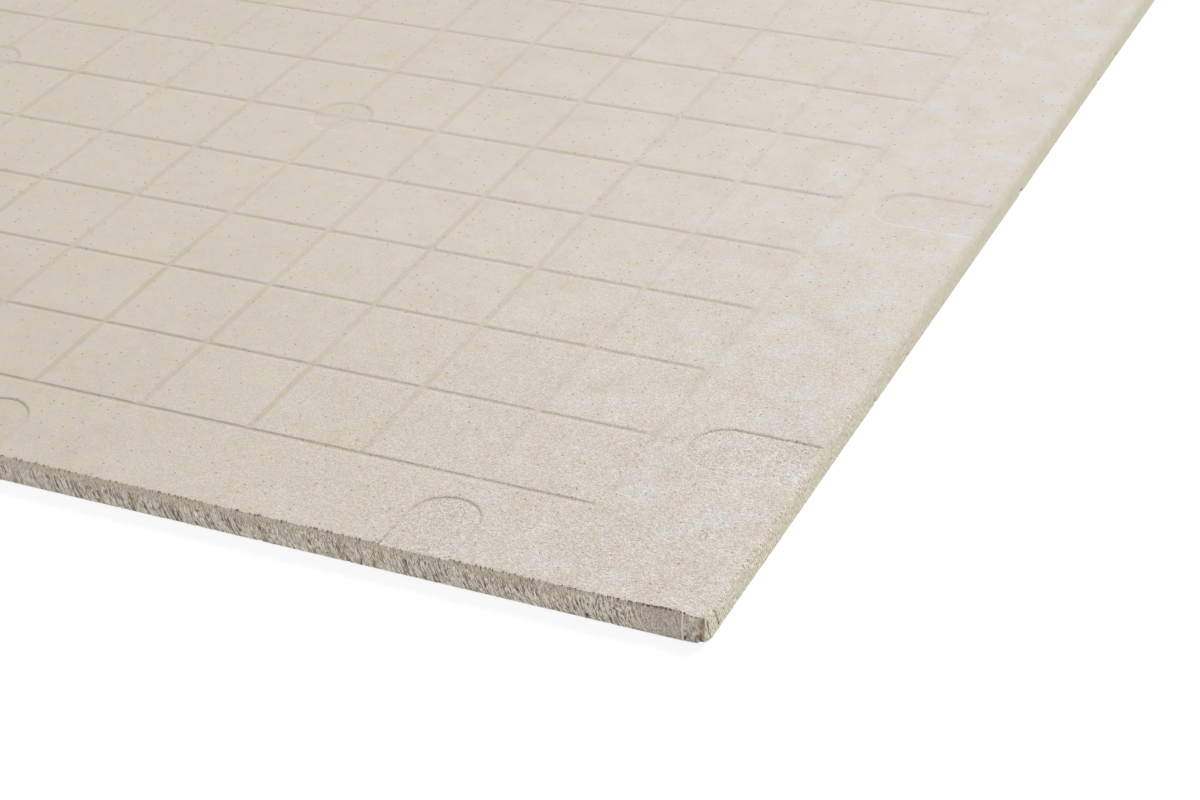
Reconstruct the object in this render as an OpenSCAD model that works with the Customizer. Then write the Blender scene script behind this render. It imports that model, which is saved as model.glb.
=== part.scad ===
// Fiber cement backer board: one pressed sheet, embossed with a cutting grid and with recessed
// marks that show where the fasteners go. The sheet lies flat, embossed face up.
// X runs along the length, Y across the width, and the origin is at the middle of the back.

/* [Sheet] */
// Length of the sheet, between its two ends
sheet_length = 1524; // [1000:1:2440]
// Width of the sheet, over its two sheared sides at their widest
sheet_width = 914.4; // [600:0.1:1220]
// Thickness of the sheet
sheet_thickness = 10.7; // [6:0.1:15]
// Radius of the four corners, seen from above
corner_radius = 4; // [0.5:0.1:8]

/* [Ends] */
// Radius that softens the face's arris along each end
end_arris_radius = 2.5; // [0.5:0.1:4]

/* [Sheared sides] */
// Height of the clean cut under the face, before the board breaks away
cut_band = 3; // [1:0.1:4]
// How far the broken part of the side stands out past the clean cut
break_lean = 1.4; // [0.2:0.1:3]
// Height of the narrow flank where the break meets the back
break_toe = 1; // [0.2:0.1:1.5]

/* [Cutting grid] */
// Distance between one groove and the next, both ways
grid_pitch = 50.8; // [25.4:0.1:101.6]
// Width of a groove, at the face
groove_width = 2.4; // [1.8:0.1:6]
// Depth of a groove
groove_depth = 0.5; // [0.2:0.05:1.5]
// How far the walls of the grooves and of the marks lean out, between their foot and the face
wall_draft = 0.6; // [0.1:0.05:0.8]
// Distance from the sheet's right-hand end to the first groove that runs across the sheet
first_column = 65.3; // [60:0.1:100]
// Distance from the face's near arris to the first groove that runs along the sheet
first_row = 50.8; // [45:0.1:100]
// Least plain border that the grid leaves at the left-hand end
least_end_border = 60; // [58:0.5:120]
// Least plain border that the grid leaves at the far side
least_side_border = 45; // [42:0.5:120]

/* [Fastener marks] */
// Diameter of a mark, at the face
mark_diameter = 29.8; // [16:0.1:36]
// Depth of a mark, which the roll presses a little deeper than the grooves
mark_depth = 0.65; // [0.2:0.05:1.5]
// Grid cells from the grid's corner to the first mark
mark_start = 1; // [1:1:3]
// Grid cells from one mark to the next
mark_step = 4; // [2:1:6]
// Distance from an end of the sheet to the centre of a mark there
end_setback = 36; // [20:0.5:38]
// Distance from the face's arris at a side to the centre of a mark there
side_setback = 22.5; // [14:0.5:24]

/* [Hidden] */
$fn = 48;
board_colour = [0.82, 0.79, 0.74];
// How far a cutting shape reaches past what it cuts
clear = 5;

face_half_width = sheet_width / 2 - break_lean;
last_column = floor((sheet_length - first_column - least_end_border) / grid_pitch);
last_row = floor((2 * face_half_width - first_row - least_side_border) / grid_pitch);

function column_x(i) = sheet_length / 2 - first_column - i * grid_pitch;
function row_y(j) = -face_half_width + first_row + j * grid_pitch;

// Marks step on from the right-hand end along the length. Across the width they step in from
// both sides alike, so the rows are mirrored about the middle of the grid.
mark_columns = [for (i = [mark_start : mark_step : last_column - 1]) i];
near_rows = [for (j = [mark_start : mark_step : last_row / 2 - 0.5]) j];
mark_rows = concat(near_rows, [for (j = near_rows) last_row - j]);

// The rows nearest the sides hold marks only at the ends, and so does the first column.
field_columns = [for (i = mark_columns) if (i > mark_start) i];
field_rows = [for (j = mark_rows) if (j > mark_start && j < last_row - mark_start) j];

// Section across the sheet: under the face a clean cut, then a break that leans out to a toe.
module side_section() {
    side = [
        [sheet_width / 2, 0],
        [sheet_width / 2, break_toe],
        [face_half_width, sheet_thickness - cut_band],
        [face_half_width, sheet_thickness]
    ];
    other_side = [for (k = [len(side) - 1 : -1 : 0]) [-side[k][0], side[k][1]]];
    polygon(concat(side, other_side));
}

// Section along the sheet: square at the back, with the face's arris softened at both ends.
module end_section() {
    square_length = sheet_length - 2 * end_arris_radius;
    arris_z = sheet_thickness - end_arris_radius;
    translate([-sheet_length / 2, 0]) square([sheet_length, arris_z]);
    translate([-square_length / 2, 0]) square([square_length, sheet_thickness]);
    for (side = [-1, 1])
        translate([side * square_length / 2, arris_z]) circle(r = end_arris_radius);
}

// The sheet seen from above, with its four small corner radii.
module outline() {
    inner_length = sheet_length - 2 * corner_radius;
    inner_width = sheet_width - 2 * corner_radius;
    square([inner_length, sheet_width], center = true);
    square([sheet_length, inner_width], center = true);
    for (x = [-1, 1], y = [-1, 1])
        translate([x * inner_length / 2, y * inner_width / 2]) circle(r = corner_radius);
}

// The plain sheet is what its two sections and its outline from above have in common.
module sheet_blank() {
    intersection() {
        rotate([90, 0, 0])
            linear_extrude(height = sheet_width + 2 * clear, center = true) end_section();
        rotate([90, 0, 90])
            linear_extrude(height = sheet_length + 2 * clear, center = true) side_section();
        linear_extrude(height = sheet_thickness + clear) outline();
    }
}

// Half the section of a pressed recess, with the face at zero: a flat floor, then a leaning wall.
module half_recess(width, depth) {
    polygon([
        [0, -depth],
        [width / 2 - wall_draft, -depth],
        [width / 2, 0],
        [width / 2, clear],
        [0, clear]
    ]);
}

// A straight recess, which runs from the origin towards +X.
module pressed_line(length, width, depth) {
    rotate([90, 0, 90])
        linear_extrude(height = length)
            for (side = [0, 1]) mirror([side, 0]) half_recess(width, depth);
}

// A round recess, with its centre at the origin.
module pressed_round(width, depth) {
    rotate_extrude() half_recess(width, depth);
}

// Grooves both ways, each ending in the outermost groove of the other direction.
// The four corners of the grid are turned about the ends of its outermost grooves.
module grid_lines() {
    grid_length = last_column * grid_pitch;
    grid_width = last_row * grid_pitch;
    for (j = [0 : last_row])
        translate([column_x(last_column), row_y(j)])
            pressed_line(grid_length, groove_width, groove_depth);
    for (i = [0 : last_column])
        translate([column_x(i), row_y(0)])
            rotate(90) pressed_line(grid_width, groove_width, groove_depth);
    for (i = [0, last_column], j = [0, last_row])
        translate([column_x(i), row_y(j)]) pressed_round(groove_width, groove_depth);
}

// A mark near an edge: a round end whose two sides run straight out over the edge.
// It opens towards +X, with the centre of its round end at the origin.
module edge_mark(setback) {
    pressed_round(mark_diameter, mark_depth);
    pressed_line(setback + clear, mark_diameter, mark_depth);
}

// All fastener marks: whole discs on the grid's crossings, and open ones along the four edges.
module fastener_marks() {
    for (i = field_columns, j = field_rows)
        translate([column_x(i), row_y(j)]) pressed_round(mark_diameter, mark_depth);
    for (j = mark_rows, turn = [0, 180])
        translate([cos(turn) * (sheet_length / 2 - end_setback), row_y(j)])
            rotate(turn) edge_mark(end_setback);
    for (i = mark_columns, turn = [90, 270])
        translate([column_x(i), sin(turn) * (face_half_width - side_setback)])
            rotate(turn) edge_mark(side_setback);
}

// The whole sheet, with the grid and the marks pressed into its face.
module backer_board() {
    color(board_colour)
        difference() {
            sheet_blank();
            translate([0, 0, sheet_thickness]) {
                grid_lines();
                fastener_marks();
            }
        }
}

backer_board();
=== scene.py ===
# %% [markdown]
# # A fiber cement backer board
# The board is one pressed sheet, about 1.5 m by 0.9 m and 10.7 mm thick. It is laid under floor
# tiles. Its face carries a grid of shallow grooves, which guide the knife, and round marks where
# the screws go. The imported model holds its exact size, so everything here starts from that frame.
# The frame's node is smooth and plain. This lesson builds the sheet anew with its broken edges,
# presses the pattern into it, and gives it the look of cement with short paper fibres in it.
# Blender works in metres, so a size in millimetres is written as a number times MM.

# %% Load the frame
import math

import bmesh
import bpy
from mathutils import Matrix, Vector, noise


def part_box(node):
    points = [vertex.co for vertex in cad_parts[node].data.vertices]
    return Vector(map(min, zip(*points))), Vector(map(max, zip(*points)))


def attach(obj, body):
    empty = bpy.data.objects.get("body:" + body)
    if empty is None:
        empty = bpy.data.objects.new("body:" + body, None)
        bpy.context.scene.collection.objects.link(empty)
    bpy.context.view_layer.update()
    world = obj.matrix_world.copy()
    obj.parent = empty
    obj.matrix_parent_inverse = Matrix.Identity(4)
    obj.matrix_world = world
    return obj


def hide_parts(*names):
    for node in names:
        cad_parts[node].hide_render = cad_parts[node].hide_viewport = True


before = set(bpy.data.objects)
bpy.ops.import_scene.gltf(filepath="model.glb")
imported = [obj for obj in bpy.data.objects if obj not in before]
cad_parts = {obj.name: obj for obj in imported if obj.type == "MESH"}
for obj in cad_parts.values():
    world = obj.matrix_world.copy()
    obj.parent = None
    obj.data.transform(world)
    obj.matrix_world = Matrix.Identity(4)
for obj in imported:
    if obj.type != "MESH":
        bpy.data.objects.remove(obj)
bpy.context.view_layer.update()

low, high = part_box("backer_board")
scene = bpy.context.scene
scene.view_settings.view_transform = "Standard"
MM = 0.001
print("board, in mm:", [round(side / MM, 2) for side in high - low])

# %% [markdown]
# ## The camera
# The board is seen from outside its near right corner, from the height of a person who bends
# over it. A long lens keeps the grid nearly square. A camera can be turned by Euler angles,
# but a point to look at is easier to read: the camera's back axis points away from it, and a
# small roll tilts the picture.

# %% Camera
camera_place = Vector((1.0866, -1.1616, 0.5890))
camera_aim = Vector((0.6661, -0.3385, high.z))
camera_roll = math.radians(-3.73)

camera = bpy.data.objects.new("camera", bpy.data.cameras.new("camera"))
scene.collection.objects.link(camera)
scene.camera = camera
camera.data.lens = 83.29
camera.data.sensor_width = 36
camera.data.clip_start = 0.01
camera.rotation_mode = "QUATERNION"
camera.location = camera_place
aim = (camera_aim - camera_place).to_track_quat("-Z", "Y")
camera.rotation_quaternion = aim @ Matrix.Rotation(camera_roll, 3, "Z").to_quaternion()
print("camera is", round((camera_aim - camera_place).length, 3), "m from what it looks at")

# %% [markdown]
# ## Wires for the shaders
# A material can be drawn node by node, but sums are easier to read. The class below wraps one
# output socket. Arithmetic on wires adds the Math nodes that work it out, so `1 - mask` is a
# wire too. Every other node comes from one method, which makes the settings first and then
# fills or links the inputs.


# %% The Wire class
class Wire:
    """One output of a node in the tree that is open."""

    tree = None

    def __init__(self, socket):
        self.socket = socket

    @staticmethod
    def node(kind, inputs=None, output=0, stops=None, **settings):
        """A new node of a kind, with its settings, its ramp stops and its inputs."""
        made = Wire.tree.nodes.new("ShaderNode" + kind)
        for name, value in settings.items():
            setattr(made, name, value)
        for place_on_ramp, colour in stops or []:
            made.color_ramp.elements.new(place_on_ramp).color = colour
        for name, value in (inputs or {}).items():
            if isinstance(value, Wire):
                Wire.tree.links.new(value.socket, made.inputs[name])
            else:
                made.inputs[name].default_value = value
        return Wire(made.outputs[output]) if made.outputs else None

    def also(self, output):
        """Another output of the same node."""
        return Wire(self.socket.node.outputs[output])

    def __add__(self, other):
        return maths("ADD", self, other)

    def __radd__(self, other):
        return maths("ADD", other, self)

    def __sub__(self, other):
        return maths("SUBTRACT", self, other)

    def __rsub__(self, other):
        return maths("SUBTRACT", other, self)

    def __mul__(self, other):
        return maths("MULTIPLY", self, other)

    def __rmul__(self, other):
        return maths("MULTIPLY", other, self)


# %% Sums, fades and mixes
def maths(operation, *values):
    """A Math node on wires and numbers."""
    return Wire.node("Math", dict(enumerate(values)), operation=operation)


def fade(value, start, end):
    """A wire that runs smoothly from 0 at start to 1 at end. The start may be the larger one."""
    inputs = {"Value": value, "From Min": start, "From Max": end}
    return Wire.node("MapRange", inputs, interpolation_type="SMOOTHSTEP")


def blend(colour, other_colour, share):
    """A mix of two colours, each a wire or four numbers."""
    return Wire.node("Mix", {0: share, 6: colour, 7: other_colour}, output=2, data_type="RGBA")


def open_tree(owner):
    """Empty the node tree of a material or a world, and send new nodes there."""
    owner.use_nodes = True
    owner.node_tree.nodes.clear()
    Wire.tree = owner.node_tree


print("wires can be added, subtracted and multiplied, with numbers too")

# %% [markdown]
# ## The floor and the light
# The board lies on a white floor in a white room. One soft sun stands behind it on the right, so
# that the walls which face the viewer fall in shade and draw the pattern. Together with the even
# light of the room it lights a level surface at about strength 1, where a colour renders as it
# is written. The room and the floor look whiter to the camera than their light is: Light Path's
# Is Camera Ray picks what the eye sees, and the floor keeps a weak shadow under the board's edge.

# %% Light
room_light = 0.544
sun_light = 0.56
sun_height = math.radians(45)
sun_turn = math.radians(-10)
sun_spread = math.radians(16)

room = bpy.data.worlds.new("white_room")
scene.world = room
open_tree(room)
ray = Wire.node("LightPath", output="Is Camera Ray")
mirrored = maths("MAXIMUM", ray.also("Is Glossy Ray"), ray.also("Is Transmission Ray"))
seen = maths("MAXIMUM", ray, mirrored)
strength = room_light + seen * (1 - room_light)
backdrop = Wire.node("Background", {"Color": (1, 1, 1, 1), "Strength": strength})
Wire.node("OutputWorld", {"Surface": backdrop})

sun = bpy.data.objects.new("sun", bpy.data.lights.new("sun", "SUN"))
scene.collection.objects.link(sun)
sun.data.energy = sun_light * math.pi
sun.data.angle = sun_spread
sun_from = Vector((0, math.cos(sun_height), math.sin(sun_height)))
sun_from.rotate(Matrix.Rotation(sun_turn, 3, "Z"))
sun.rotation_mode = "QUATERNION"
sun.rotation_quaternion = sun_from.to_track_quat("Z", "Y")
print("light on a level surface:", round(room_light + sun_light * sun_from.z, 3))

# %% Floor
floor_reach = 12
floor_gap = 0.2 * MM
floor_grey = 0.9
floor_glow = 1.1
floor_glow_share = 0.75

floor_mesh = bmesh.new()
bmesh.ops.create_grid(floor_mesh, x_segments=1, y_segments=1, size=floor_reach)
bmesh.ops.translate(floor_mesh, verts=floor_mesh.verts, vec=(0, 0, low.z - floor_gap))
floor = bpy.data.objects.new("floor", bpy.data.meshes.new("floor"))
floor_mesh.to_mesh(floor.data)
floor_mesh.free()
scene.collection.objects.link(floor)

paper = bpy.data.materials.new("white_floor")
open_tree(paper)
ray = Wire.node("LightPath", output="Is Camera Ray")
matt = Wire.node("BsdfDiffuse", {"Color": (floor_grey, floor_grey, floor_grey, 1)})
glow = Wire.node("Emission", {"Strength": floor_glow})
both = Wire.node("MixShader", {0: ray * floor_glow_share, 1: matt, 2: glow})
Wire.node("OutputMaterial", {"Surface": both})
floor.data.materials.append(paper)
print("floor:", 2 * floor_reach, "m wide,", floor_gap / MM, "mm under the board")

# %% [markdown]
# ## The sizes of the sheet
# The outer size comes from the frame's node. The rest are the maker's sizes: the two sheared
# sides have a clean cut under the face and break outwards below it, and the two ends are square
# with the face's arris worn round. Grooves and marks are counted off from the right-hand end and
# the near side, and the plain border that is left at the other two must not be too narrow.

# %% Edges and corners
thickness = high.z - low.z
half_length = (high.x - low.x) / 2
half_width = (high.y - low.y) / 2
break_lean = 1.4 * MM
break_toe = 1.0 * MM
cut_band = 3.0 * MM
end_arris = 2.5 * MM
corner_radius = 4.0 * MM
face_half_width = half_width - break_lean
print("the face is", round(2 * face_half_width / MM, 1), "mm wide between its sharp arrises")

# %% Grooves and marks
grid_pitch = 50.8 * MM
groove_width = 2.4 * MM
groove_depth = 0.5 * MM
first_column = 65.3 * MM
first_row = 50.8 * MM
least_end_border = 60 * MM
least_side_border = 45 * MM
mark_radius = 14.5 * MM
mark_depth = 0.65 * MM
mark_step = 4
end_setback = 36 * MM
side_setback = 22.5 * MM

last_column = int((2 * half_length - first_column - least_end_border) // grid_pitch)
last_row = int((2 * face_half_width - first_row - least_side_border) // grid_pitch)


def column_x(i):
    return half_length - first_column - i * grid_pitch


def row_y(j):
    return -face_half_width + first_row + j * grid_pitch


mark_columns = list(range(1, last_column, mark_step))
near_rows = list(range(1, last_row // 2, mark_step))
mark_rows = near_rows + [last_row - j for j in near_rows]
print(last_column + 1, "columns,", last_row + 1, "rows, marks on rows", mark_rows)

# %% [markdown]
# ## Steps that grow
# The near right corner is where the board is seen closest, so its mesh is finest there. A row of
# stops whose steps grow with distance spends the faces where they show. The same helper serves
# the edges of the sheet and the ribs that press the grooves.


# %% Stops
def growing_stops(length, first_step, growth):
    """Distances from 0 to length, whose steps start at first_step and grow with distance."""
    count = round(math.log(1 + growth * length / first_step) / growth)
    count = max(count, 1)
    spread = [math.expm1(growth * n) for n in range(count + 1)]
    return [length * value / spread[-1] for value in spread]


print("stops over 10 mm:", [round(stop, 1) for stop in growing_stops(10, 1, 0.2)])

# %% [markdown]
# ## The outline
# Seen from above, the sheet is a rectangle with small corner radii. Its outline is four straight
# legs, counted round from the right-hand end, and each has a corner before it. A place on it is a
# leg and a distance from the leg's start, and a negative distance lies on the corner. With the
# point come the direction that faces outwards there and a weight that is 0 on a sheared side,
# 1 on an end and in between on a corner. One leg is worked out and turned to the other three.


# %% Outline
straight_side = 2 * (half_length - corner_radius)
straight_end = 2 * (half_width - corner_radius)
corner_turn = corner_radius * math.pi / 2
legs = [straight_end, straight_side, straight_end, straight_side]


def outline(leg, distance):
    """Point, outward direction and end weight on a straight leg or the corner before it."""
    turn = Matrix.Rotation(math.pi / 2 * leg, 3, "Z")
    is_end = leg % 2 == 0
    half_across = half_length if is_end else half_width
    half_along = half_width if is_end else half_length
    if distance < 0:
        angle = (distance / corner_turn) * math.pi / 2
        outward = Vector((math.cos(angle), math.sin(angle), 0))
        centre = Vector((half_across - corner_radius, corner_radius - half_along, 0))
        point = centre + corner_radius * outward
        weight = 1 + distance / corner_turn
        weight = weight * weight * (3 - 2 * weight)
    else:
        outward = Vector((1, 0, 0))
        point = Vector((half_across, corner_radius - half_along + distance, 0))
        weight = 1
    point.rotate(turn)
    outward.rotate(turn)
    return point, outward, weight if is_end else 1 - weight


def corner_stops(count):
    """Distances round the corner before a leg, in even steps."""
    return [-corner_turn * (1 - n / count) for n in range(count)]


# For each leg: steps on its corner, its first step, how they grow, and the end where they are fine.
leg_steps = [
    (22, 0.34 * MM, 0.0035, "start"),
    (6, 4.0 * MM, 0.0015, "start"),
    (6, 4.5 * MM, 0.0006, "end"),
    (6, 0.34 * MM, 0.0012, "end"),
]
stops = []
for leg, (corner_steps, first_step, growth, fine_end) in enumerate(leg_steps):
    along = growing_stops(legs[leg], first_step, growth)
    if fine_end == "end":
        along = [legs[leg] - d for d in reversed(along)]
    stops += [(leg, d) for d in corner_stops(corner_steps)]
    stops += [(leg, d) for d in along[:-1]]
print(len(stops), "stops round the edge")

# %% [markdown]
# ## Two edge sections
# Cut across, a sheared side and an end have different shapes. Each section is a run of points,
# given as the inset from the sheet's widest outline and the height. It starts on the face, comes
# over the arris and down the edge, and ends under the back. Both have the same number of rows, so
# that at a corner one section can turn smoothly into the other. The end's worn arris is a quarter
# circle.


# %% Sections
def run(corners):
    """Points along straight lines: each corner is (inset, height, steps to the next one)."""
    points = []
    for (inset, height, steps), (next_inset, next_height, _) in zip(corners, corners[1:]):
        for n in range(steps):
            share = n / steps
            points.append((inset + (next_inset - inset) * share,
                           height + (next_height - height) * share))
    return points + [corners[-1][:2]]


face_inset = 3.7 * MM
back_inset = 3.2 * MM
sheared_section = run([
    (face_inset, thickness, 4),
    (break_lean, thickness, 4),
    (break_lean, thickness - cut_band, 7),
    (0, break_toe, 2),
    (0, 0, 2),
    (back_inset, 0, 0),
])
arris_steps = 4
arris_angles = [n * math.pi / 2 / arris_steps for n in range(arris_steps)]
worn_arris = [
    (end_arris * (1 - math.sin(angle)), thickness - end_arris * (1 - math.cos(angle)))
    for angle in arris_angles
]
end_face = run([(face_inset, thickness, 2), (end_arris, thickness, 0)])[:-1]
end_flank = run([
    (0, thickness - end_arris, 9),
    (0, break_toe, 2),
    (0, 0, 2),
    (back_inset, 0, 0),
])
end_section = end_face + worn_arris + end_flank
row_count = len(sheared_section)
arris_row = 4
bottom_row = row_count - 3
assert row_count == len(end_section)
print(row_count, "rows from the face, over the edge, to the back")

# %% [markdown]
# ## How the edges broke
# A sheared side is cut clean for a few millimetres and then tears: slanting ridges and furrows
# run down to the right, with pits near the back where the fibres pulled out. An end is denser and
# only finely hatched. Fractal displacement from a texture would be quick, but it can't follow the
# slant or know where the clean cut stops, so each edge has its own small function of smooth noise.
# It gives how far the surface sinks, and how dark, how brown and how pale it is there. On a
# sheared side the dark is painted shade in the furrows, notches and pits, together with the
# core's own dark streaks, and the pale is a painted highlight on the ridges, together with pale
# fibres. The brown is stain. Its numbers are sizes in millimetres and strengths, and the seeds
# keep its noises apart.


# %% Noise helpers
def ripple(x, y, seed=0.0):
    """Smooth noise from about -1 to 1, with lumps one unit across. A seed is a slice of its own."""
    return noise.noise(Vector((x, y + 0.37, 2 * seed + 0.5)))


def ramp(value, start, end):
    """0 before start, 1 after end, smooth in between."""
    share = min(max((value - start) / (end - start), 0), 1)
    return share * share * (3 - 2 * share)


def pit(along, height, spacing, top, size, chance, seed):
    """1 in the middle of a pit and 0 outside. There may be one pit in each stretch of an edge."""
    stretch = math.floor(along / spacing)
    picks = [0.5 + 0.5 * noise.cell(Vector((stretch + 0.5, n + 0.5, seed))) for n in range(4)]
    if picks[0] > chance:
        return 0
    middle = (stretch + 0.25 + 0.5 * picks[1]) * spacing
    level = top * picks[2]
    reach = size * (0.6 + 0.8 * picks[3])
    away = math.hypot(along - middle, 0.6 * (height - level)) / reach
    return 1 - ramp(away, 0.35, 1)


print("noise at six places:", [round(ripple(n, 0), 2) for n in range(6)])

# %% Tear of a sheared side
fall_bend = 0.045


def torn_side(x, z, seed):
    """Sink, dark, brown and pale of a sheared side, at a place along it and a height."""
    a = x / MM
    h = z / MM
    under = thickness / MM - h
    band = cut_band / MM * (1.1 + 1.2 * ripple(a / 11, 0, seed)) + 0.9 * ripple(a / 1.3, 0, seed)
    torn = ramp(under, band, band + 1.0)
    across = a - fall_bend * (under - 1) ** 2
    coarse = ripple(across / 0.95, h / 14, seed + 1)
    fine = ripple(across / 0.45, h / 3, seed + 2)
    rough = 0.85 + 0.8 * ripple(a / 8, h / 12, seed + 3)
    hatch = ripple(a / 0.42, h / 2.5, seed + 4)
    tear = coarse + 0.3 * fine
    notch = ramp(ripple(a / 0.75, 0, seed + 5), 0.02, 0.32) * (1 - ramp(under, 0.2, 1.3 + 1.2 * hatch))
    hole = pit(a, h, 9, 2.4, 0.6, 0.35, seed + 6) * torn
    sink = torn * rough * (0.22 - 0.5 * tear) + (1 - torn) * 0.10 * (1 + 1.5 * hatch)
    sink = max(sink, 0) * (0.4 + 0.6 * ramp(h, 0, 1.5)) + 0.8 * notch + 0.6 * hole
    # Dark: painted shade in the furrows, notches and pits, with the core's dark streaks.
    dark = torn * ramp(-tear, 0.10, 0.35) * rough + 1.3 * notch + 0.8 * hole
    brown = torn * ramp(under, 6, 10.5) * (0.10 + 1.0 * ripple(a / 3, h / 3, seed + 7)) + hole
    # Pale: a painted highlight on the ridges, with pale fibres.
    pale = torn * ramp(tear, 0.10, 0.38) * rough
    return sink * MM, dark, brown, pale


furrows = [torn_side(n * MM, thickness / 3, 3)[0] / MM for n in range(-700, 700)]
print("furrows: mean", round(sum(furrows) / len(furrows), 2), "mm, deepest", round(max(furrows), 2), "mm")

# %% Hatching of an end
end_slant = 0.05


def hatched_end(y, z, seed):
    """Sink, dark, brown and pale of an end, at a place along it and a height."""
    a = y / MM
    h = z / MM
    across = a + end_slant * h
    fine = ripple(across / 0.55, h / 2.2, seed)
    slow = ripple(a / 5, h / 5, seed + 1)
    nick = pit(a, h, 38, 1.2, 1.3, 0.55, seed + 2)
    sink = (0.06 + 0.14 * fine + 0.04 * slow) * (0.4 + 0.6 * ramp(h, 0, 1.5)) + 0.7 * nick
    # The nick's dark is painted shade in its pit; the hatch's own dark and pale are its grain.
    return max(sink, 0) * MM, 0.5 * max(-fine, 0) + nick, 0.3 * nick, 0.5 * max(fine, 0)


hatching = [hatched_end(n * MM, thickness / 3, 23)[0] / MM for n in range(-400, 400)]
print("hatching: mean", round(sum(hatching) / len(hatching), 2), "mm")

# %% [markdown]
# ## The near right corner
# The corner that shows closest has a history of its own. On the side the tear is calmer there. A
# bite is missing under the face, and its arris is frayed. A thin pale fin of board stands up the
# side, its paleness partly its own and partly a painted highlight, with a pit at its foot that is
# painted dark as painted shade. Past the fin the side is crumbly, with a slot painted dark as
# painted shade and a brown stain at its very end. On the end a flake is parted from the sheet by a
# crack and a thin seam, both painted dark as painted shade, and the back's corner is rubbed off.
# These are named places, in millimetres from the corner.

# %% Places at the corner
fin_from_end = 9.73
fin_lean = 0.068
crack_from_side = 8.32
crack_lean = 0.38
seam_from_side = 2.95
rubbed_reach = 6.0
calm_reach = 32
calm_full = 22


def bell(value, middle, reach):
    """1 at the middle, fading to both sides."""
    return math.exp(-((value - middle) / reach) ** 2)


print("the fin stands", fin_from_end, "mm from the end and the crack", crack_from_side, "mm from the side")


# %% The side by the corner
def corner_on_side(from_end, from_side, h):
    """What the near right corner adds to the sheared side's sink, dark, brown and pale."""
    under = thickness / MM - h
    here = 1 - ramp(from_side, 2.5, 4.5)
    bite = ramp(from_end, 6, 11) * (1 - ramp(from_end, 13, 34)) * (1 - ramp(under, 0, 6)) * here
    frayed = ramp(ripple(from_end / 0.7, 0, 51), -0.3, 0.1) * (1 - ramp(under, 0.4, 1.2)) * here
    frayed *= ramp(from_end, 2.5, 4.0) * (1 - ramp(from_end, calm_full, calm_reach))
    fin_at = fin_from_end - fin_lean * under
    fin = bell(from_end, fin_at, 0.3) * here
    foot = bell(from_end, fin_at - 0.8, 0.5) * bell(h, 1.2, 0.9) * here
    past_fin = (1 - ramp(from_end, fin_at - 0.9, fin_at - 0.2)) * ramp(from_end, 1.0, 2.4)
    grit = ripple(from_end / 0.9, h / 1.3, 41)
    crumbly = past_fin * (0.4 + 1.2 * ramp(under, 4, 7))
    patch = bell(from_end, 5.8, 1.3) * bell(h, 9.0, 1.6) * here
    slot = bell(from_end, 2.6, 0.35) * (1 - ramp(h, 2.6, 4.6))
    stain = bell(from_end, 2.05 + 0.3 * ripple(h / 1.6, 0, 45), 0.85) * ramp(under, 0.1, 0.7)
    stain *= 0.95 + 0.9 * ripple(from_end / 0.8, h / 1.1, 49)
    stain_rim = bell(from_end, 1.45, 0.25) * ramp(under, 0.4, 1.2) * (1 - ramp(under, 3.5, 5.5))
    sink = 1.4 * bite + 0.14 * past_fin * (1 + grit) - 0.3 * fin + 0.9 * foot + 0.3 * stain + 0.6 * slot
    # The dark of the foot's pit and of the slot is painted shade in those hollows; less dark on the fin
    # makes it paler, partly its own colour and partly a painted highlight.
    dark = 1.5 * crumbly * max(-grit, 0) + 2.6 * foot + 0.4 * stain + 1.2 * stain_rim
    dark += 1.6 * slot - 1.2 * patch + 2.4 * frayed - 2 * fin
    brown = 1.5 * stain + 0.2 * past_fin * (1 + grit) - fin
    pale = 2.0 * crumbly * max(grit, 0) + 1.2 * patch - 0.8 * stain
    return sink, dark, brown, pale


fin_sink = corner_on_side(fin_from_end - 7 * fin_lean, 0, thickness / MM - 7)[0]
print("7 mm under the face the fin stands out by", round(-fin_sink, 2), "mm")


# %% The end by the corner
def corner_on_end(from_end, from_side, h):
    """What the near right corner adds to the end's sink, dark, brown and pale."""
    under = thickness / MM - h
    here = 1 - ramp(from_end, 1.5, 3.0)
    crack_at = crack_from_side + crack_lean * under + 0.25 * ripple(h / 1.2, 0, 43)
    crack = bell(from_side, crack_at, 0.30) * ramp(under, 0.5, 1.4) * ramp(h, 0.4, 1.6) * here
    crack_foot = bell(from_side, crack_at - 0.6, 0.6) * bell(h, 2.2, 1.0) * here
    seam_at = seam_from_side + 0.034 * (under - 3) ** 2
    seam = bell(from_side, seam_at, 0.28) * here * ramp(under, 0.5, 1.4)
    flake = 1 - ramp(from_side, crack_at - 0.8, crack_at - 0.2)
    flake *= ramp(from_side, seam_at, seam_at + 0.8) * here
    flake *= 0.55 + 0.9 * ripple(from_side / 1.2, h / 2, 47)
    sink = 0.35 * crack + 0.2 * crack_foot - 0.10 * flake + 0.25 * seam
    # The dark of the crack, its foot and the seam is painted shade in them.
    dark = 1.7 * crack + 0.7 * crack_foot + 1.2 * seam
    return sink, dark, 0.5 * crack_foot, 0.9 * flake


crack_sink = corner_on_end(0, crack_from_side + 7 * crack_lean, thickness / MM - 7)[0]
print("7 mm under the face the crack is", round(crack_sink, 2), "mm deep")


# %% The corner as a whole
def near_corner(point, z):
    """What the near right corner adds to the sink, dark, brown and pale of the edges."""
    from_end = (half_length - point.x) / MM
    from_side = (point.y + half_width) / MM
    if from_end > 40 or from_side > 30:
        return 0, 0, 0, 0
    side = corner_on_side(from_end, from_side, z / MM)
    end = corner_on_end(from_end, from_side, z / MM)
    sink, dark, brown, pale = [s + e for s, e in zip(side, end)]
    return sink * MM, dark, brown, pale


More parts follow.
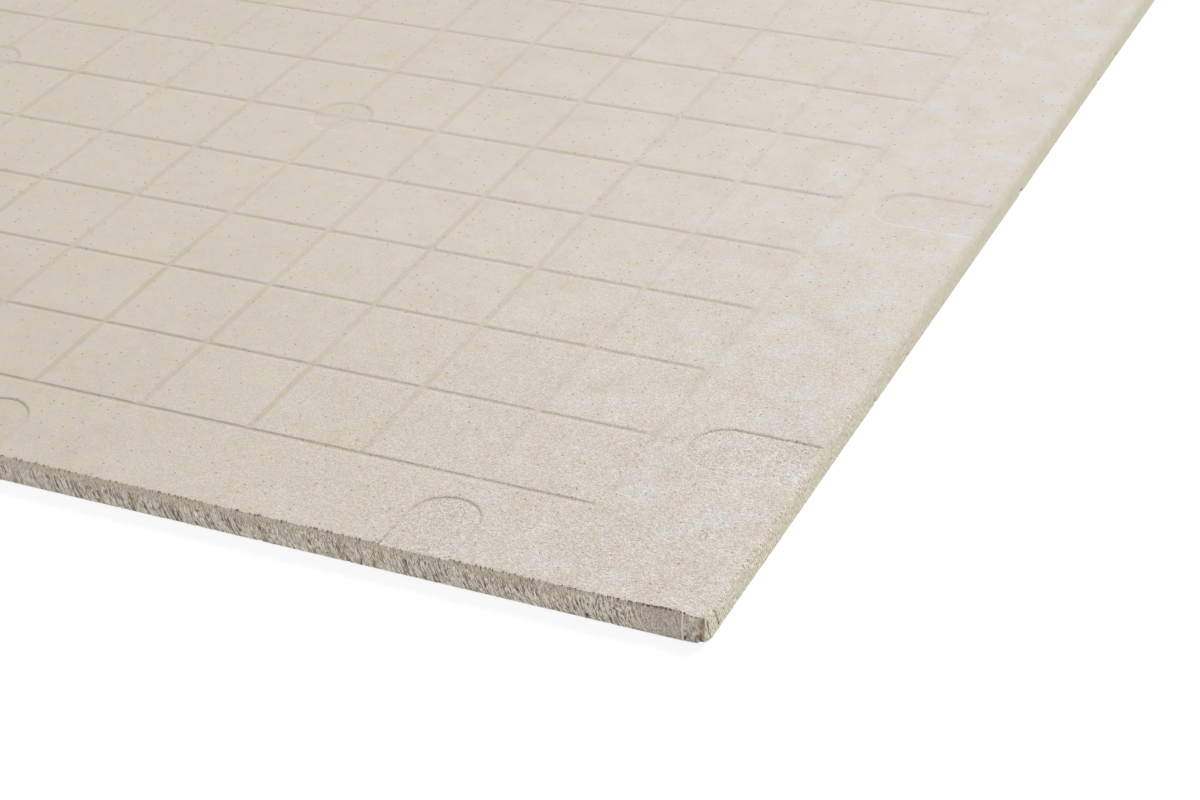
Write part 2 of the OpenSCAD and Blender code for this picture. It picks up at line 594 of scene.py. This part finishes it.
def rubbed(point):
    """How far the back's corner is rubbed upwards at the outline, from 0 to 1."""
    from_end = (half_length - point.x) / MM
    from_side = (point.y + half_width) / MM
    return (1 - ramp(from_end, 1.0, rubbed_reach)) * (1 - ramp(from_side, 1.0, rubbed_reach))


foot_place = Vector((half_length - (fin_from_end - 1.5) * MM, -half_width, 0))
print("the pit at the fin's foot is", round(near_corner(foot_place, MM)[0] / MM, 2), "mm deep")


# %% Relief of the whole edge
near_seed, far_seed = 3, 83
right_seed, left_seed = 23, 63


def edge_relief(point, end_weight, z):
    """Sink, dark, brown and pale anywhere on the edge, with the two kinds blended at a corner."""
    near = point.y < 0
    from_end = (half_length - point.x) / MM
    wild = 1 - 0.8 * (1 - ramp(from_end, calm_full, calm_reach)) * near
    sink, *tones = torn_side(point.x, z, near_seed if near else far_seed)
    side = [sink * (0.4 + 0.6 * wild)] + [tone * wild for tone in tones]
    end = hatched_end(point.y, z, right_seed if point.x > 0 else left_seed)
    corner = near_corner(point, z)
    return [s + (e - s) * end_weight + c for s, e, c in zip(side, end, corner)]


relief = edge_relief(Vector((0, -half_width, 0)), 0, thickness / 2)
print("dark, brown and pale at one place of the near side:", [round(tone, 2) for tone in relief[1:]])

# %% [markdown]
# ## The sheet
# The edge is made as one long grid of cells, like edging tape, and wrapped round the outline: its
# columns go to the stops and its rows follow the section there, sunk by the relief. On the sheared
# sides the columns lean as the tear does, so that a furrow runs down along the cells and stays
# crisp. The arris is frayed, the bottom edge is ragged, and the back's near corner is rubbed off.
# The tape's two border loops are then filled with one flat face each, the face and the back of the
# board. A cube cut by many planes gives the same cells, but its columns would have to be evenly
# spaced.


# %% Wrap the edge
def edge_vertex(stop, row):
    """Where the vertex of one stop and one row of the edging goes."""
    point, outward, end_weight = outline(*stop)
    side_inset, side_height = sheared_section[row]
    end_inset, end_height = end_section[row]
    inset = side_inset + (end_inset - side_inset) * end_weight
    height = side_height + (end_height - side_height) * end_weight
    fall = max((thickness - height) / MM - 1, 0)
    clear = ramp(half_length - abs(point.x), corner_radius + 1 * MM, calm_reach * MM) * (1 - end_weight)
    point = point + Vector((fall_bend * fall * fall * clear * MM, 0, 0))
    sink = edge_relief(point, end_weight, height)[0] * min(row / arris_row, 1)
    flat_face = row < arris_row - 1
    if flat_face or row == row_count - 1:
        return point - outward * (inset + sink * flat_face) + Vector((0, 0, low.z + height))
    along = (point.x * (1 - end_weight) + point.y * end_weight) / MM
    if row <= arris_row:
        fray = ripple(along / 0.8, row * 0.7, 31)
        height -= (0.05 + 0.07 * abs(fray) + (0.16 * max(fray, 0) if row == arris_row else 0)) * MM
    chip = rubbed(point) * (1 - ramp(height, 0.2 * MM, 3.4 * MM))
    ragged = 0.10 * MM * (1 + ripple(along / 1.1, 0, 35)) * (1 - ramp(height, 0, 0.5 * MM))
    if row <= bottom_row:
        inset = max(inset + sink, 0) + 0.3 * MM * chip
        height += ragged + 0.4 * MM * chip
    else:
        height += 0.2 * MM * chip
    return point - outward * inset + Vector((0, 0, low.z + height))


print("the edging starts at, in mm:", [round(side / MM, 1) for side in edge_vertex(stops[0], 0)])

# %% Plain sheet
sheet = bmesh.new()
bmesh.ops.create_grid(sheet, x_segments=len(stops), y_segments=row_count - 1, size=1)
for vert in sheet.verts:
    column = round((vert.co.x + 1) / 2 * len(stops)) % len(stops)
    row = round((vert.co.y + 1) / 2 * (row_count - 1))
    vert.co = edge_vertex(stops[column], row)
bmesh.ops.remove_doubles(sheet, verts=sheet.verts, dist=0.0001 * MM)
rims = [edge for edge in sheet.edges if edge.is_boundary]
bmesh.ops.holes_fill(sheet, edges=rims, sides=0)
bmesh.ops.recalc_face_normals(sheet, faces=sheet.faces)
board = bpy.data.objects.new("fiber_cement_sheet", bpy.data.meshes.new("fiber_cement_sheet"))
sheet.to_mesh(board.data)
sheet.free()
scene.collection.objects.link(board)
print("plain sheet:", len(board.data.vertices), "vertices")

# %% [markdown]
# ## The pattern
# On the real line a roll with raised ribs and discs presses the wet sheet. Here the ribs and
# discs are made as closed shapes. Each level of their section is an extrusion that is then set
# to its own width: a narrow floor, a steep wall, and a shallow shoulder where the wet skin was
# drawn down. The roll bit hardest at the near side, so away from it the section turns softer: a
# flatter floor and a wider shoulder. The walls are ragged by a tenth of a millimetre. A Boolean
# takes all the shapes out of the sheet at once. A displaced face would need a far finer mesh for
# lines as thin as these.

# %% Sections of the ribs
face_level = high.z
taper_length = 9 * MM
rib_clear = 0.02 * MM

# Each level of a rib: its half width on the near or right side, on the other side, and its depth.
row_levels = [
    (0.35 * MM, 0.66 * MM, groove_depth),
    (1.00 * MM, 1.00 * MM, 0.17 * MM),
    (2.40 * MM, 1.35 * MM, -rib_clear),
]
soft_levels = [
    (0.30 * MM, 0.20 * MM, 0.36 * MM),
    (1.40 * MM, 1.35 * MM, 0.13 * MM),
    (2.60 * MM, 2.30 * MM, -rib_clear),
]
column_levels = [
    (0.80 * MM, 0.75 * MM, 0.44 * MM),
    (1.70 * MM, 1.60 * MM, 0.15 * MM),
    (2.60 * MM, 2.50 * MM, -rib_clear),
]


def softened(levels, soft, share):
    """The levels of a section between a crisp one and a soft one."""
    return [
        tuple(value + (soft_value - value) * share for value, soft_value in zip(level, soft_level))
        for level, soft_level in zip(levels, soft)
    ]


def softness(y):
    """How softly the roll presses at a place across the sheet, from 0 to 0.9."""
    return 0.9 * ramp(y - low.y, -60 * MM, 400 * MM)


for j in (0, last_row):
    print("row", j, "is pressed with a softness of", round(softness(row_y(j)), 2))


# %% Shapes in storeys
def finished(mesh, name):
    """A new object of a finished bmesh."""
    made = bpy.data.objects.new(name, bpy.data.meshes.new(name))
    bmesh.ops.recalc_face_normals(mesh, faces=mesh.faces)
    mesh.to_mesh(made.data)
    mesh.free()
    return made


def storeys(mesh, count):
    """Extrude a flat mesh upwards again and again. Gives the vertices of each level."""
    faces = mesh.faces[:]
    levels = [mesh.verts[:]]
    for storey in range(count):
        new = bmesh.ops.extrude_face_region(mesh, geom=faces)["geom"]
        if storey > 0:
            bmesh.ops.delete(mesh, geom=faces, context="FACES")
        faces = [item for item in new if isinstance(item, bmesh.types.BMFace)]
        levels.append([item for item in new if isinstance(item, bmesh.types.BMVert)])
    return levels


print("a rib has", len(row_levels) - 1, "storeys")


# %% Ribs
def rib(levels, length, along_stops, turn, middle, seed):
    """One rib of the roll, along X before its turn, with ragged walls and ends that fade."""
    mesh = bmesh.new()
    bmesh.ops.create_grid(mesh, x_segments=len(along_stops) - 1, y_segments=1, size=1)
    for vert in mesh.verts:
        vert.co.x = along_stops[round((vert.co.x + 1) / 2 * (len(along_stops) - 1))]
    for verts, (near_half, far_half, under) in zip(storeys(mesh, len(levels) - 1), levels):
        for vert in verts:
            x, side = vert.co.x / MM, math.copysign(1, vert.co.y)
            wander = 0.12 * ripple(x / 5, side, seed) + 0.07 * ripple(x / 1.7, side, seed + under / MM)
            tip = 1 - ramp(min(x + length / 2 / MM, length / 2 / MM - x), 0, taper_length / MM)
            half = near_half if side < 0 else far_half
            vert.co.y = side * (half - 0.2 * MM * tip + wander * MM)
            vert.co.z = face_level - under * (1 - 0.3 * tip)
    bmesh.ops.rotate(mesh, verts=mesh.verts, cent=(0, 0, 0), matrix=Matrix.Rotation(turn, 3, "Z"))
    bmesh.ops.translate(mesh, verts=mesh.verts, vec=middle)
    return finished(mesh, "rib")


pattern = []
grid_length = last_column * grid_pitch + groove_width
grid_width = last_row * grid_pitch + groove_width
middle_x = column_x(last_column / 2)
middle_y = row_y(last_row / 2)
for j in range(last_row + 1):
    along = growing_stops(grid_length, 2.6 * MM + 0.0025 * (row_y(j) - low.y), 0.009)
    along = [grid_length / 2 - d for d in reversed(along)]
    levels = softened(row_levels, soft_levels, softness(row_y(j)))
    pattern.append(rib(levels, grid_length, along, 0, Vector((middle_x, row_y(j), 0)), 100 + 3 * j))
for i in range(last_column + 1):
    along = growing_stops(grid_width, 2.8 * MM + 0.006 * (high.x - column_x(i)), 0.012)
    along = [d - grid_width / 2 for d in along]
    middle = Vector((column_x(i), middle_y, 0))
    pattern.append(rib(column_levels, grid_width, along, math.pi / 2, middle, 200 + 3 * i))
print(len(pattern), "ribs")


# %% Discs
disc_segments = 72
disc_overrun = 2.0 * MM

# Each level of a disc: how far it stands out past the mark's radius, and its depth.
disc_levels = [(-0.25 * MM, mark_depth), (0.30 * MM, 0.12 * MM), (1.00 * MM, -rib_clear)]
soft_disc_levels = [(-1.10 * MM, 0.50 * MM), (0.30 * MM, 0.16 * MM), (1.60 * MM, -rib_clear)]


def disc(setback, turn, middle, seed):
    """One disc of the roll. With a setback its sides run out over the sheet's edge, along +X."""
    mesh = bmesh.new()
    bmesh.ops.create_circle(mesh, cap_ends=True, segments=disc_segments, radius=1)
    levels = softened(disc_levels, soft_disc_levels, max(1.3 * softness(middle.y) - 0.35, 0))
    for verts, (wider, under) in zip(storeys(mesh, len(levels) - 1), levels):
        for vert in verts:
            direction = vert.co.normalized()
            wander = 0.13 * ripple(6 * direction.x, 6 * direction.y, seed)
            wander += 0.07 * ripple(15 * direction.x, 15 * direction.y, seed + under / MM)
            vert.co = direction * (mark_radius + wider + wander * MM)
            vert.co.z = face_level - under
            if setback and direction.x > 0.001:
                vert.co.x += setback + disc_overrun
    bmesh.ops.rotate(mesh, verts=mesh.verts, cent=(0, 0, 0), matrix=Matrix.Rotation(turn, 3, "Z"))
    bmesh.ops.translate(mesh, verts=mesh.verts, vec=middle)
    return finished(mesh, "disc")


print("a disc has", disc_segments, "sides and", len(disc_levels), "levels")

# %% Places of the discs
discs = []
for j in mark_rows:
    for side in (1, -1):
        middle = Vector((side * (half_length - end_setback), row_y(j), 0))
        discs.append(disc(end_setback, math.acos(side), middle, 300 + len(discs)))
for i in mark_columns:
    for side in (1, -1):
        middle = Vector((column_x(i), side * (face_half_width - side_setback), 0))
        discs.append(disc(side_setback, side * math.pi / 2, middle, 300 + len(discs)))
# Whole discs stand on the crossings, but not where an edge's own marks are close.
for i in mark_columns[1:]:
    for j in mark_rows:
        if 1 < j < last_row - 1:
            discs.append(disc(0, 0, Vector((column_x(i), row_y(j), 0)), 300 + len(discs)))
print(len(discs), "discs")

# %% Press the pattern
stamps = bpy.data.collections.new("stamps")
scene.collection.children.link(stamps)
for stamp in pattern + discs:
    stamps.objects.link(stamp)
press = board.modifiers.new("press", "BOOLEAN")
press.operation = "DIFFERENCE"
press.operand_type = "COLLECTION"
press.collection = stamps
press.solver = "MANIFOLD"
evaluated = board.evaluated_get(bpy.context.evaluated_depsgraph_get())
pressed = bpy.data.meshes.new_from_object(evaluated)
board.modifiers.remove(press)
board.data = pressed
for stamp in pattern + discs:
    bpy.data.objects.remove(stamp)
bpy.data.collections.remove(stamps)
print("pressed sheet:", len(pressed.polygons), "faces")

# %% [markdown]
# ## Clean triangles and recorded relief shading
# A Boolean leaves faces with many sides and corners that nearly meet. Left so, a viewer or a
# slicer cuts them up in its own way and may open a seam. So the corners are merged and the faces
# are cut into triangles here, and the edges are counted that two faces don't share. Then the
# relief is asked once more what it did at each vertex, and its dark, brown and pale, with their
# painted shade and painted highlight, are stored with the mesh as an attribute for the material to
# read.

# %% Clean triangles
trimmed = bmesh.new()
trimmed.from_mesh(pressed)
bmesh.ops.remove_doubles(trimmed, verts=trimmed.verts, dist=0.001 * MM)
bmesh.ops.triangulate(trimmed, faces=trimmed.faces)
unshared = sum(not edge.is_manifold for edge in trimmed.edges)
trimmed.to_mesh(pressed)
trimmed.free()
print(len(pressed.polygons), "triangles,", unshared, "edges that two faces don't share")

# %% Record the tones and the relief shading
corner_blend = 2 * MM
crease_angle = math.radians(38)

tone_and_relief_shading = pressed.attributes.new("tone_and_relief_shading", "FLOAT_VECTOR", "POINT")
values = []
for vert in pressed.vertices:
    point = vert.co
    near_end = half_length - abs(point.x)
    near_side = half_width - abs(point.y)
    if min(near_end, near_side) > face_inset:
        values += [0, 0, 0]
        continue
    weight = ramp(near_side - near_end, -corner_blend, corner_blend)
    values += edge_relief(point, weight, point.z - low.z)[1:]
tone_and_relief_shading.data.foreach_set("vector", values)
pressed.set_sharp_from_angle(angle=crease_angle)
for face in pressed.polygons:
    face.use_smooth = abs(face.normal.z) < 0.99999
pressed.materials.clear()
print("wear is stored at", len(values) // 3, "vertices, up to", round(max(values), 2))

# %% [markdown]
# ## The cement
# The sheet is pressed from cement, fine sand and short paper fibres, so its skin is a warm pale
# grey with a felt-like grain. Its colour is painted whiter towards the two ends and a little
# towards the far side, as painted light, and a little darker and more yellow in the grooves, where
# dust lies together with painted shade. Where the sheet is broken its inside shows, torn into
# streaks on the sheared sides and creamy on the ends. One material holds it all, because a crack
# or a groove crosses from one finish to the next. Its patterns are sums of smooth noise on the
# Object coordinates, in millimetres. The factors in the sums are strengths: 0.02 beside a 1 makes
# a spot 2 % lighter.


# %% Material helpers
def paint(red, green, blue):
    """A colour as a screen shows it, from 0 to 255, in the linear numbers that shaders use."""
    return tuple(((value / 255 + 0.055) / 1.055) ** 2.4 for value in (red, green, blue)) + (1,)


def toned(colour, strength):
    """A colour made lighter or darker by a wire around 1."""
    colour = colour if isinstance(colour, Wire) else colour[:3]
    return Wire.node("VectorMath", {0: colour, "Scale": strength}, operation="SCALE")


def vector(x, y, z):
    """Three wires or numbers as one vector."""
    return Wire.node("CombineXYZ", {"X": x, "Y": y, "Z": z})


def tinted(colour, red, green, blue):
    """A colour with each of its channels made lighter or darker by a wire around 1."""
    tint = vector(red, green, blue)
    return Wire.node("VectorMath", {0: colour, 1: tint}, operation="MULTIPLY")


def lumps(source, size, seed, stretch=(1, 1, 1), detail=0.0):
    """Smooth noise with lumps of a size in mm, mostly from -1 to 1."""
    inputs = {
        "Vector": source,
        "Location": (7.3 * seed, 3.1 * seed, 5.9 * seed),
        "Scale": [side / size for side in stretch],
    }
    moved = Wire.node("Mapping", inputs)
    return (Wire.node("TexNoise", {"Vector": moved, "Scale": 1.0, "Detail": detail}) - 0.5) * 4


def count_nodes(step):
    """Print how many nodes the material has after a step."""
    print(step + ":", len(Wire.tree.nodes), "nodes so far")


print("a grey of 128 on a screen is", round(paint(128, 128, 128)[0], 3), "in a shader")

# %% [markdown]
# ## Places on the board
# The patterns need to know where they are: how far under the face, how far from the nearest end
# and side, how far from the corner that shows closest, and whether the surface faces up or to
# the side. Near that corner the broken side is calmer, and the grain is coarser all round it. The
# relief's tones, with their painted shade and painted highlight, come from the mesh's own
# attribute.

# %% Places in the material
cement = bpy.data.materials.new("felted_cement")
open_tree(cement)
place = Wire.node("TexCoord", output="Object")
place = Wire.node("VectorMath", {0: place, "Scale": 1 / MM}, operation="SCALE")
x = Wire.node("SeparateXYZ", {0: place})
y = x.also("Y")
z = x.also("Z")
under = high.z / MM - z
from_end = half_length / MM - maths("ABSOLUTE", x)
from_side = half_width / MM - maths("ABSOLUTE", y)
normal = Wire.node("NewGeometry", output="Normal")
lift = Wire.node("SeparateXYZ", {0: normal}, output="Z")
# The attribute's dark and pale carry painted shade in furrows and pits and a painted highlight on ridges;
# its brown is stain.
edge_tones_and_shading = Wire.node("Attribute", output="Vector", attribute_name="tone_and_relief_shading")
dark = Wire.node("SeparateXYZ", {0: edge_tones_and_shading})
brown = dark.also("Y")
pale = dark.also("Z")
calm_from = half_length / MM - calm_reach
at_corner = fade(x, calm_from, half_length / MM - calm_full) * fade(y, 0, -10)
corner_place = tuple(Vector((high.x, low.y, 0)) / MM)
reach = Wire.node("VectorMath", {0: place, 1: corner_place}, output="Value", operation="DISTANCE")
coarseness = 1.25 - 1.0 * fade(reach, 0, 480)
count_nodes("places")

# %% [markdown]
# ## Skin
# Fibres lie both ways in the skin, so two noises are stretched, one along each axis, and a third
# is round. Broader mottle and clouds lie under them. The painted light at the ends is a slow fade,
# with frosty patches where it is strong, and here and there a dark fibre shows. The skin's
# lightness and its hue vary apart: a rosy and a blue noise push the channels a little against each
# other.

# %% Grain of the skin
along_fibres = lumps(place, 0.34, 1, (0.3, 1, 1))
cross_fibres = lumps(place, 0.34, 2, (1, 0.4, 1))
grain = lumps(place, 0.28, 3)
fuzz = lumps(place, 1.3, 4, detail=1.0)
mottle = lumps(place, 6, 5, detail=1.0)
cloud = lumps(place, 34, 6, detail=1.0)
fleck_cell = Wire.node("TexVoronoi", {"Vector": place, "Scale": 0.2}, voronoi_dimensions="2D")
fleck_pick = Wire.node("SeparateXYZ", {0: fleck_cell.also("Color")})
fleck = fade(fleck_cell + 0.03 * grain, 0.11, 0.05) * fade(fleck_pick, 0.76, 0.9)
count_nodes("grain")

# %% Tone of the skin
# Painted light: the skin is painted whiter towards both ends and a little towards the far side.
painted_light_gradient = 1.1 - fade(from_end, -100, 720) + 0.00025 * y
frost = fade(lumps(place, 17, 7, detail=3.0) + 0.25 * fuzz, -0.3, 1.0) * fade(painted_light_gradient, 0.6, 1)
warmth = 0.5 + 0.25 * lumps(place, 2.5, 8, detail=1.0) + 0.2 * lumps(place, 14, 9)
skin_tone = blend(paint(206, 197, 183), paint(222, 213, 202), painted_light_gradient)
skin_tone = blend(skin_tone, paint(223, 220, 219), frost * (0.45 + 0.3 * fade(from_end, 110, 50)))
skin_tone = blend(skin_tone, blend(skin_tone, paint(205, 190, 166), 0.28), fade(warmth, 0.35, 1))
count_nodes("tone of the skin")

# %% Skin
weave = 0.14 * along_fibres + 0.11 * cross_fibres + 0.30 * grain
weave_strength = 1.3 - 1.17 * fade(reach, 20, 400)
fuzz_strength = 0.045 - 0.027 * fade(reach, 0, 600)
skin_shade = weave_strength * weave + fuzz_strength * fuzz
skin_shade = skin_shade + 0.020 * mottle + 0.02 * cloud
# Painted light: a little lighter away from the near side, and painted shade along the near side away from
# the ends.
skin_shade = skin_shade + 0.05 * fade(y, -480, -180) - 0.014
skin_shade = skin_shade - 0.032 * fade(from_end, 120, 300) * fade(y, -150, -420)
rosy = 0.018 * lumps(place, 1.9, 17, detail=1.0) + 0.020 * lumps(place, 4.5, 24, detail=1.0)
blue = 0.030 * lumps(place, 2.4, 18, detail=1.0) + 0.015 * lumps(place, 13, 23)
blue = blue + (0.015 + 0.03 * fade(reach, 60, 300)) * lumps(place, 5.5, 25, detail=1.0)
skin = tinted(
    skin_tone,
    1 + 0.9 * skin_shade + rosy,
    1 + skin_shade - 0.5 * rosy,
    1 + 1.2 * skin_shade + blue,
)
count_nodes("skin")

# %% [markdown]
# ## Pressed lines
# The grooves repeat, so Ping-Pong gives the distance to the nearest one. Fine dust has settled
# in them, more in some than in others, and painted shade darkens and yellows them with it. Their
# recesses are painted a touch darker and their steep walls darker and more yellow, as painted
# shade. Beside the grooves that run along the sheet a soft band of painted shade widens the shade
# of their walls.

# %% Pressed lines
off_column = maths("PINGPONG", x - column_x(0) / MM, grid_pitch / 2 / MM)
off_row = maths("PINGPONG", y - row_y(0) / MM, grid_pitch / 2 / MM)
# Dust together with painted shade in the grooves, in the columns less near the ends and towards the far
# side.
column_dust_and_shade = (0.2 + 0.8 * fade(from_end, 110, 200)) * fade(off_column, 2.3, 0.9)
column_dust_and_shade = column_dust_and_shade * (1 - 0.6 * fade(y, -405, -60))
row_dust_and_shade = 0.5 * fade(off_row, 1.9, 0.9)
past_column = maths("ABSOLUTE", x - middle_x / MM) - grid_length / 2 / MM
past_row = maths("ABSOLUTE", y - middle_y / MM) - grid_width / 2 / MM
in_grid = fade(maths("MAXIMUM", past_column, past_row), 0.5, 0.0)
sunk = fade(under, 0.05, 0.35) * fade(under, 1.2, 0.8)
patchy = 1 + 0.4 * lumps(place, 60, 10) + 0.25 * fuzz
dust_and_shade = sunk * in_grid * maths("MAXIMUM", column_dust_and_shade, row_dust_and_shade) * patchy
# Painted shade: recesses are painted 2 % darker, and steep walls darker and more yellow.
wall_shade = sunk * fade(lift, 0.97, 0.8)
surface = blend(toned(skin, 1 - 0.02 * sunk), paint(168, 150, 108), 0.16 * wall_shade)
surface = blend(surface, paint(142, 116, 86), 0.75 * fleck)
surface = blend(surface, paint(184, 168, 128), 0.26 * dust_and_shade)
count_nodes("pressed lines")

# %% [markdown]
# ## A scratch
# On the plain border by the near right corner the skin has a scratch in the shape of a small arch,
# two millimetres wide. It could be a curve laid on the face, but a line this fine costs no mesh as
# a mask. Above its springing the arch is a ring, and below that its two legs run straight down,
# so the distance to its middle only counts the way up.

# %% Scratch
scratch_from_end = 21.1
scratch_from_side = 48.2
scratch_radius = 1.1

scratch_x = x - (high.x / MM - scratch_from_end)
scratch_y = y - (low.y / MM + scratch_from_side)
above_springing = maths("MAXIMUM", scratch_y, 0)
from_middle = maths("SQRT", scratch_x * scratch_x + above_springing * above_springing)
scratch = fade(maths("ABSOLUTE", from_middle - scratch_radius), 0.35, 0.12) * fade(scratch_y, -2.4, -1.6)
surface = blend(surface, paint(160, 140, 112), 0.6 * scratch)
print("the scratch is", 2 * scratch_radius, "mm wide")

# %% Painted shade beside the rows
# Painted shade: a soft dark band along each row groove, left out at the crossings, strongest in the middle
# rows.
painted_band_shade = fade(off_row, 3.2, 0.5) * fade(off_column, 0.8, 2.4) * in_grid
row_shade = 0.036 + 0.022 * fade(y, -330, -250) - 0.022 * fade(y, -130, -40)
surface = toned(surface, 1 - row_shade * painted_band_shade)
count_nodes("face")

# %% [markdown]
# ## Broken sides
# The core is creamier than the skin. On a sheared side the cut band is grey and smooth, and below
# it the tear leaves ridges, furrows and brown stains. The ridges carry a painted highlight and the
# furrows painted shade, over the core's own pale and dark streaks. They follow the relief, which
# the mesh carries in its attribute of tones and relief shading. What is finer than the mesh is
# painted along the same slant: splits with painted shade and lips with a painted highlight, in
# bundles, threads, and orange crumbs. Stretching a noise along one axis would make upright
# streaks, so x is first bent by the fall under the face, as the columns are.

# %% Fibres of the core
fall = under - 1
slant = x - fall_bend * (fall * fall)
along_tear = vector(slant, y * 0.3, z * 0.2)
streak = lumps(along_tear, 0.7, 11)
thread = lumps(along_tear, 0.33, 12, detail=1.0)
crumb = lumps(place, 0.36, 13, detail=1.0)
stroke = lumps(vector(slant, y * 0.3, z * 0.09), 0.8, 20) + 0.15 * thread
bundle = lumps(vector(slant, y * 0.3, z * 0.4), 4, 21, detail=1.0)
torn = fade(under + 1.5 * lumps(place, 9, 14), cut_band / MM - 1, cut_band / MM + 1.5)
fibrous = torn * fade(bundle, -0.8, 0.3) * (1 - 0.85 * at_corner)
# Painted shade in the thin splits and a painted highlight on their lips.
split_shade = fade(stroke, -0.4, -0.68) * fibrous
lip_highlight = fade(stroke, 0.4, 0.75) * fibrous
orange = fade(lumps(place, 0.5, 22), 0.55, 0.95) * fibrous
strand = (0.3 * streak + 1.3 * thread) * (0.55 + 0.45 * torn)
count_nodes("fibres")

# %% Tone of a sheared side
side_tone = blend(paint(216, 204, 187), paint(231, 219, 202), torn)
# Painted light: paler towards the back, where less light comes up from the shadowed floor.
side_tone = blend(side_tone, paint(243, 232, 216), fade(under, 5, 9))
side_tone = blend(side_tone, paint(205, 193, 178), 0.7 * at_corner)
threads = (0.60 - 0.34 * at_corner) * strand
crumbs = (0.42 + 0.04 * at_corner) * crumb
side_shade = 1 + (0.3 + 0.7 * coarseness) * (threads + crumbs)
warm = 0.028 * lumps(along_tear, 0.8, 19, detail=1.0)
side_tone = tinted(side_tone, side_shade + warm, side_shade, side_shade - 1.5 * warm + 0.04 * thread)
count_nodes("tone of a side")

# %% Ridges, stains and furrows
# Painted highlight on the ridges and painted shade in the furrows, over the core's own streaks.
ridge_highlight = fade(pale + 0.4 * strand, 0.3, 1.1)
stained = fade(brown * (1 + 0.5 * crumb) + 0.25 * thread, 0.4, 1.3)
furrow_shade = 0.62 * fade(0.9 * dark - 0.4 * strand, 0.3, 1.1) + 0.33 * fade(dark, 1.2, 1.9)
side_tone = blend(side_tone, paint(244, 240, 236), 0.75 * ridge_highlight)
side_tone = blend(side_tone, paint(244, 242, 238), 0.5 * lip_highlight)
side_tone = blend(side_tone, paint(166, 142, 116), 0.6 * stained)
side_tone = blend(side_tone, paint(100, 76, 52), furrow_shade)
side_tone = blend(side_tone, paint(112, 82, 54), 0.6 * split_shade)
side_tone = blend(side_tone, paint(182, 140, 104), 0.4 * orange)
# The fin is painted near white: its own pale colour with a painted highlight.
off_fin = maths("ABSOLUTE", from_end + fin_lean * under - fin_from_end)
side_tone = blend(side_tone, paint(255, 249, 241), at_corner * fade(off_fin, 0.38, 0.22))
count_nodes("sheared side")

# %% Tone of an end
hatch = vector(x * 0.3, y + end_slant * z, z * 0.2)
ticks = lumps(hatch, 0.38, 15, detail=1.0)
tick_strength = coarseness * coarseness
end_shade = 1 + tick_strength * (0.42 * ticks + 0.18 * crumb) + 0.03 * lumps(place, 5, 16)
end_tone = blend(paint(230, 221, 202), paint(221, 213, 199), fade(under, 2.5, 0.4))
end_tone = toned(end_tone, end_shade)
end_tone = blend(end_tone, paint(234, 228, 214), 0.8 * fade(pale, 0.4, 1.2))
end_tone = blend(end_tone, paint(170, 140, 105), 0.7 * fade(brown, 0.3, 1.2))
end_tone = blend(end_tone, paint(112, 94, 74), 0.8 * fade(dark, 0.25, 1.1))
count_nodes("end")

# %% [markdown]
# ## Where each finish lies
# The skin ends at a sheared side's sharp arris, which the surface's own slope finds. At an end it
# wears thin over the round arris, so there the distance from the end decides, made uneven by the
# grain. At a corner the edge that is nearer takes its own tone. The back is skin as well, plainer
# and a touch darker.

# %% Masks
broken = fade(lift, 0.93, 0.7) * fade(from_side, 4.2, 3.4)
bared = fade(from_end + 0.45 * fuzz + 0.15 * grain, 3.1, 0.5) * fade(under, -0.1, 0.0)
on_end = fade(from_side - from_end, 0.1, 1.0)
backed = fade(lift, -0.5, -0.9)
surface = blend(surface, side_tone, broken)
surface = blend(surface, end_tone, bared * on_end)
surface = blend(surface, toned(skin, 0.93), backed)
count_nodes("masks")

# %% [markdown]
# ## Bump and shader
# The felt and the torn core also need a little height of their own. It is too fine for the mesh,
# a few hundredths of a millimetre, so it is bump. The height is in millimetres and the bump's
# distance turns it to metres. Cement is matt everywhere, and a touch smoother where it was pressed.

# %% Bump and shader
felt_grain = 0.02 * along_fibres + 0.016 * cross_fibres + 0.02 * grain
felt = felt_grain * (1 - 0.8 * fade(reach, 100, 500)) + 0.02 * fuzz
torn_core = 0.07 * thread + 0.07 * crumb
height = felt + (torn_core - felt) * broken
bump = Wire.node("Bump", {"Height": height, "Distance": MM, "Strength": 1.0}, output="Normal")
shader = Wire.node("BsdfPrincipled", {
    "Base Color": surface,
    "Roughness": 0.93 - 0.05 * sunk + 0.03 * fuzz,
    "Specular IOR Level": 0.25,
    "Normal": bump,
})
Wire.node("OutputMaterial", {"Surface": shader})
pressed.materials.append(cement)
print(len(cement.node_tree.nodes), "nodes in the cement")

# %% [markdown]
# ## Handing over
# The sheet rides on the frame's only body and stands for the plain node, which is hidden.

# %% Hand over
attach(board, "root")
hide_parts("backer_board")
